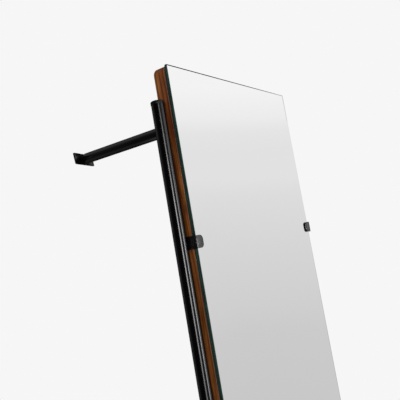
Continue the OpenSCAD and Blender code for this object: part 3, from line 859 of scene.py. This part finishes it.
def cut_away(piece, cutter):
    modify(piece, "BOOLEAN", object=cutter, operation="DIFFERENCE", solver="EXACT")
    bpy.data.objects.remove(cutter)


print("modifiers left on the board", len(board.modifiers))

# %% [markdown]
# Three shallow grooves, routed across the back, let the steel rails into the
# board. Inset faces would need edges in the right places, so boxes cut them out.

# %% Rail grooves
RAIL_FRONT, RAIL_W, RAIL_HEIGHTS = 7.6, 30.0, (1520.0, 810.0, 100.0)
GROOVE_PLAY, CUTTER_DEPTH = 0.3, 10
for level in RAIL_HEIGHTS:
    cutter = draw(
        "cube", "groove", (0, RAIL_FRONT + CUTTER_DEPTH / 2, level),
        (GLASS_W + 2, CUTTER_DEPTH, RAIL_W + 2 * GROOVE_PLAY), size=1,
    )
    cut_away(board, cutter)
settle(board, "frame", "walnut", "backing_board")

# %% [markdown]
# Left and right pieces are twins. copy_of() gives a twin with its own mesh, moved
# or mirrored by a matrix. A mirrored mesh is inside out, and a spin leaves doubled
# corners, so make_outward() merges corners and turns the faces outwards.

# %% Copy and mirror
OTHER_SIDE = Matrix.Scale(-1, 4, (1, 0, 0))


def make_outward(piece):
    bpy.context.view_layer.objects.active = piece
    bpy.ops.object.mode_set(mode="EDIT")
    bpy.ops.mesh.select_all(action="SELECT")
    bpy.ops.mesh.remove_doubles(threshold=0.001)
    bpy.ops.mesh.normals_make_consistent(inside=False)
    bpy.ops.object.mode_set(mode="OBJECT")


def copy_of(piece, name, place=None):
    twin = bpy.data.objects.new(name, piece.data.copy())
    bpy.context.scene.collection.objects.link(twin)
    twin.data.name = name
    if place is not None:
        twin.data.transform(place)
        if place.determinant() < 0:
            make_outward(twin)
    return twin


print("one to the left becomes", (OTHER_SIDE @ Vector((-1, 0, 0))).x)

# %% [markdown]
# A moulded cap is pressed into the top of each post: a thin skirt outside, a
# softly rounded top and a plug inside the tube. It is one turned form, so a
# cylinder is hollowed by insets and extrusions from below.

# %% Top caps
POST_X, POST_R = 247.7, 12.7
CAP_TOP, CAP_RIM, CAP_ROUNDING = 1654.0, 0.5, 2.2
SKIRT_H, SKIRT_WALL, SKIRT_DEEP, SKIRT_BREAK = 7, 0.45, 4.5, 0.15
PLUG_STEP, PLUG_L = 1.55, 12
SKIRT_FOOT = CAP_TOP - SKIRT_H
cap = draw(
    "cylinder", "left_cap", (-POST_X, 0, CAP_TOP - SKIRT_H / 2),
    radius=POST_R + CAP_RIM, depth=SKIRT_H, vertices=96,
)
choose(cap, "EDGE", lambda c: at(c, Z, CAP_TOP))
bpy.ops.mesh.bevel(offset=CAP_ROUNDING, segments=5, affect="EDGES")
choose(cap, "FACE", lambda c: at(c, Z, SKIRT_FOOT))
bpy.ops.mesh.inset(thickness=SKIRT_WALL)
bpy.ops.mesh.extrude_region_move(TRANSFORM_OT_translate={"value": (0, 0, SKIRT_DEEP)})
bpy.ops.mesh.inset(thickness=PLUG_STEP)
bpy.ops.mesh.extrude_region_move(TRANSFORM_OT_translate={"value": (0, 0, -PLUG_L)})
choose(cap, "EDGE", lambda c: at(c, Z, SKIRT_FOOT))
bpy.ops.mesh.bevel(offset=SKIRT_BREAK, segments=2, affect="EDGES")
bpy.ops.object.mode_set(mode="OBJECT")
right_cap = copy_of(cap, "right_cap", OTHER_SIDE)
settle(cap, "frame", "black_plastic", "left_top_cap", finish=cap_plastic, angle=50)
settle(right_cap, "frame", "black_plastic", "right_top_cap", finish=cap_plastic, angle=50)

# %% [markdown]
# The rubber foot is pressed in the same way and has two grooves round it. The post
# leans, so the foot is drawn too long and its sole is cut level with the floor.

# %% Rubber feet
FOOT_TOP, PLUG_WALL, FOOT_PLUG_L = 12, 1.6, 18
FOOT_GROOVES, GROOVE_DEEP = ((4.2, 5.4), (8.2, 9.4)), 0.5
foot = draw(
    "cylinder", "left_rubber_foot", (-POST_X, 0, 0), radius=POST_R, depth=2 * FOOT_TOP, vertices=96
)
for groove in FOOT_GROOVES:
    for level in groove:
        cut_plane(foot, (-POST_X, 0, level), (0, 0, 1))
choose(foot, "FACE", lambda c: len(c) == 4 and any(
    all(low - 0.1 < v.z < high + 0.1 for v in c) for low, high in FOOT_GROOVES))
bpy.ops.mesh.extrude_region_shrink_fatten(TRANSFORM_OT_shrink_fatten={"value": -GROOVE_DEEP})
choose(foot, "FACE", lambda c: at(c, Z, FOOT_TOP))
bpy.ops.mesh.inset(thickness=PLUG_WALL)
bpy.ops.mesh.extrude_region_move(TRANSFORM_OT_translate={"value": (0, 0, FOOT_PLUG_L)})
FLOOR_UP = (0, -math.sin(LEAN), math.cos(LEAN))
cut_plane(foot, (-POST_X, 0, 0), FLOOR_UP, clear_inner=True, use_fill=True)
right_foot = copy_of(foot, "right_rubber_foot", OTHER_SIDE)
settle(foot, "frame", "black_rubber", "left_foot", finish=rubber)
settle(right_foot, "frame", "black_rubber", "right_foot", finish=rubber)

# %% [markdown]
# Side clips. A flat strip is welded to the post, runs forward beside the glass and
# is bent sharply over its face. The leg is drawn as a block, its front face is
# spun through a quarter turn to make the bend, and the tab is pulled out of that,
# which is how the strip itself is folded.

# %% Side clips
SHEET, CLIP_W, BEND_R, BEND_STEPS = 3.0, 24, 0.5, 6
CLIP_EDGE_R, TAB_END_R = 0.45, 8
LEG_OUT, LEG_BACK, LEG_FRONT = -239.0, -4.94, GLASS_FRONT - 1
WELD_SLANT, TAB_END = 4.3, -219.0


def side_clip(name, middle):
    bend_x = LEG_OUT + SHEET + BEND_R
    clip = draw(
        "cube", name, (LEG_OUT + SHEET / 2, (LEG_FRONT + LEG_BACK) / 2, middle),
        (SHEET, LEG_BACK - LEG_FRONT, CLIP_W), size=1,
    )
    choose(clip, "EDGE", lambda c: at(c, X, LEG_OUT) and at(c, Y, LEG_BACK))
    bpy.ops.transform.translate(value=(0, -WELD_SLANT, 0))
    choose(clip, "FACE", lambda c: at(c, Y, LEG_FRONT))
    bpy.ops.mesh.spin(
        steps=BEND_STEPS, angle=-math.pi / 2, center=(bend_x, LEG_FRONT, middle), axis=(0, 0, 1)
    )
    bpy.ops.mesh.extrude_region_move(TRANSFORM_OT_translate={"value": (TAB_END - bend_x, 0, 0)})
    choose(clip, "EDGE", lambda c: at(c, X, TAB_END) and share(c, Z))
    bpy.ops.mesh.bevel(offset=TAB_END_R, segments=10, affect="EDGES")
    bpy.ops.object.mode_set(mode="OBJECT")
    make_outward(clip)
    modify(
        clip, "BEVEL", width=CLIP_EDGE_R, segments=2, limit_method="ANGLE",
        angle_limit=math.radians(50),
    )
    return clip


for level, middle in (("upper", 1381.0), ("lower", 411.0)):
    left = side_clip(f"{level}_left_bent_clip", middle)
    right = copy_of(left, f"{level}_right_bent_clip", OTHER_SIDE)
    settle(left, "frame", "black_steel", f"{level}_left_clip", finish=black_oxide)
    settle(right, "frame", "black_steel", f"{level}_right_clip", finish=black_oxide)

# %% [markdown]
# Bottom clips carry the weight of glass and board. Each is one strip with two
# bends: a lip in front, a ledge under the glass and a leg up the lowest rail. It
# could be swept along a bent line, but folding it from the lip backwards uses what
# the side clips have shown.

# %% Bottom clips
RAIL_BACK = 12.6
BOTTOM_X, LIP_TOP, LEDGE_Z, LEG_TOP = 130, 81.5, 69.0, 115.0
LEDGE_FRONT, LEDGE_BACK = GLASS_FRONT - 1, RAIL_BACK - BEND_R


def bottom_clip(name):
    clip = draw(
        "cube", name, (-BOTTOM_X, LEDGE_FRONT - BEND_R - SHEET / 2, (LIP_TOP + LEDGE_Z) / 2),
        (CLIP_W, SHEET, LIP_TOP - LEDGE_Z), size=1,
    )
    choose(clip, "FACE", lambda c: at(c, Z, LEDGE_Z))
    for bend_y, pull in (
        (LEDGE_FRONT, (0, LEDGE_BACK - LEDGE_FRONT, 0)), (LEDGE_BACK, (0, 0, LEG_TOP - LEDGE_Z))
    ):
        bpy.ops.mesh.spin(
            steps=BEND_STEPS, angle=-math.pi / 2, center=(-BOTTOM_X, bend_y, LEDGE_Z),
            axis=(1, 0, 0),
        )
        bpy.ops.mesh.extrude_region_move(TRANSFORM_OT_translate={"value": pull})
    choose(clip, "EDGE", lambda c: (at(c, Z, LIP_TOP) or at(c, Z, LEG_TOP)) and share(c, X))
    bpy.ops.mesh.bevel(offset=TAB_END_R, segments=10, affect="EDGES")
    bpy.ops.object.mode_set(mode="OBJECT")
    make_outward(clip)
    modify(
        clip, "BEVEL", width=CLIP_EDGE_R, segments=2, limit_method="ANGLE",
        angle_limit=math.radians(50),
    )
    return clip


left = bottom_clip("left_bottom_bent_clip")
right = copy_of(left, "right_bottom_bent_clip", OTHER_SIDE)
settle(left, "frame", "black_steel", "bottom_left_clip", finish=black_oxide)
settle(right, "frame", "black_steel", "bottom_right_clip", finish=black_oxide)

# %% [markdown]
# Pan head wood screws with a cross recess hold the rails to the board. One is
# modelled with its seat at zero and its head towards +Z: a short cylinder with a
# rounded rim, a shank drawn out of its underside, and two slots cut across.

# %% One screw
HEAD_R, HEAD_H, HEAD_ROUNDING = 4, 2.6, 1.5
SHANK_R, SHANK_L, TIP_L, TIP_SHARE = 2, 16, 2.5, 0.25
CROSS_BOX, CROSS_DOWN = (4.4, 1.0, 2.2), 0.3
screw = draw("cylinder", "screw", (0, 0, HEAD_H / 2), radius=HEAD_R, depth=HEAD_H, vertices=40)
choose(screw, "EDGE", lambda c: at(c, Z, HEAD_H))
bpy.ops.mesh.bevel(offset=HEAD_ROUNDING, segments=4, affect="EDGES")
choose(screw, "FACE", lambda c: at(c, Z, 0))
bpy.ops.mesh.inset(thickness=HEAD_R - SHANK_R)
for length in (SHANK_L, TIP_L):
    bpy.ops.mesh.extrude_region_move(TRANSFORM_OT_translate={"value": (0, 0, -length)})
bpy.ops.transform.resize(value=(TIP_SHARE, TIP_SHARE, 1))
bpy.ops.object.mode_set(mode="OBJECT")
for degrees in (0, 90):
    slot_cut = draw("cube", "cross", (0, 0, HEAD_H - CROSS_DOWN), CROSS_BOX, size=1)
    slot_cut.data.transform(Matrix.Rotation(math.radians(degrees), 4, "Z"))
    cut_away(screw, slot_cut)
print("screw", len(screw.data.polygons), "faces")

# %% [markdown]
# The screw is copied to every hole, head towards the back. The two that hold the
# bottom clips are the same screw, but the clip under the head takes up 3 mm, so
# the shank is that much longer. They are blackened like the clips.

# %% Every screw
HEAD_BACK = Matrix.Rotation(math.radians(-90), 4, "X")
RAIL_SCREW_X = (-150.0, 0.0, 150.0)
spots = [(x, RAIL_BACK, z) for z in RAIL_HEIGHTS for x in RAIL_SCREW_X]
for number, spot in enumerate(spots, 1):
    piece = copy_of(screw, f"rail_screw_{number}", Matrix.Translation(spot) @ HEAD_BACK)
    settle(piece, "frame", "zinc_steel", "rail_screws", finish=zinc)
for side, x in (("left", -BOTTOM_X), ("right", BOTTOM_X)):
    piece = copy_of(screw, f"{side}_clip_screw")
    for corner in piece.data.vertices:
        corner.co.z -= SHEET if corner.co.z < -1 else 0
    spot = (x, RAIL_BACK + SHEET, RAIL_HEIGHTS[-1])
    piece.data.transform(Matrix.Translation(spot) @ HEAD_BACK)
    settle(piece, "frame", "black_screw", "clip_screws", finish=black_oxide)
bpy.data.objects.remove(screw)

# %% [markdown]
# Wall plates. Each is laser-cut from 3 mm sheet, with two screw holes and a
# countersunk hole where the ball stud is riveted in. The rim is rounded first, as
# powder coat leaves it, because a bevel after the round holes would fail on their
# many short edges. The holes are then cut with cylinders and a cone.

# %% One wall plate
PLATE_W, PLATE_H, PLATE_FRONT = 64, 24, 7.2
PLATE_CORNER, PLATE_RIM, HOLE_R, HOLE_X = 2, 0.3, 2.5, 23
SINK_R, SINK_DEPTH, SINK_PROUD = 3.8, 1.402, 0.001
PLATE_MIDDLE, PLATE_BACK = PLATE_FRONT + SHEET / 2, PLATE_FRONT + SHEET
TURN_BACK = (math.radians(-90), 0, 0)
plate = draw(
    "cube", "left_plate_cut", (0, PLATE_MIDDLE, 0), (PLATE_W, SHEET, PLATE_H), size=1
)
choose(plate, "EDGE", lambda c: share(c, X) and share(c, Z))
bpy.ops.mesh.bevel(offset=PLATE_CORNER, segments=4, affect="EDGES")
choose(plate, "EDGE", lambda c: at(c, Y, PLATE_FRONT) or at(c, Y, PLATE_BACK))
bpy.ops.mesh.bevel(offset=PLATE_RIM, segments=2, affect="EDGES")
bpy.ops.object.mode_set(mode="OBJECT")
for x in (-HOLE_X, 0, HOLE_X):
    cut_away(plate, draw(
        "cylinder", "cut", (x, PLATE_MIDDLE, 0), turn=TURN_BACK, radius=HOLE_R, depth=8, vertices=48
    ))
cut_away(plate, draw(
    "cone", "cut", (0, PLATE_BACK - SINK_DEPTH / 2 + SINK_PROUD, 0), turn=TURN_BACK,
    radius1=HOLE_R, radius2=SINK_R, depth=SINK_DEPTH, vertices=48,
))
make_outward(plate)
print("plate", len(plate.data.polygons), "faces")

# %% [markdown]
# The plate is turned and tipped on its ball as the photograph shows it, and moved
# to the strut's end. Three plain matrices do it in the order of the real swivel.
# Each plate rides on its own body.

# %% Both wall plates
STRUT_Z, PIVOT_Y = 1594.0, 207.8
TURNED, TIPPED = 12.5, -6.5
POSED = (
    Matrix.Translation((-POST_X, PIVOT_Y, STRUT_Z))
    @ Matrix.Rotation(math.radians(TURNED), 4, "Z")
    @ Matrix.Rotation(math.radians(TIPPED), 4, "X")
)
plate.data.transform(POSED)
right_plate = copy_of(plate, "right_plate_cut", OTHER_SIDE)
settle(plate, "left_plate", "black_steel", "left_wall_plate", finish=powder_coat)
settle(right_plate, "right_plate", "black_steel", "right_wall_plate", finish=powder_coat)

# %% [markdown]
# A sheet of studio paper on the floor catches the shadow. It could curve up into a
# backdrop, but the main view's background is plain, so a small flat sheet that
# stays out of that view is enough.

# %% Floor
FLOOR_SIZE, FLOOR_AT = 1.8, (0.0, -0.05, -0.0005)
floor_paper, tree, shader, upright = new_finish(
    "studio_paper", Base_Color=hex_colour("#f4f4f4"), Roughness=0.9
)
fibre = add_node(tree, "TexNoise", {"Vector": upright, "Scale": every(25.0), "Detail": 4.0})
tone = add_node(
    tree, "ValToRGB", {"Fac": fibre.outputs["Fac"]}, stops=[(0.3, "#f3f3f3"), (0.7, "#f7f7f7")]
)
tree.links.new(tone.outputs[0], shader.inputs["Base Color"])
bpy.ops.mesh.primitive_plane_add(size=FLOOR_SIZE, location=FLOOR_AT)
floor = bpy.context.object
floor.name = "floor"
floor.data.materials.append(floor_paper)
print("floor", FLOOR_SIZE, "m square")
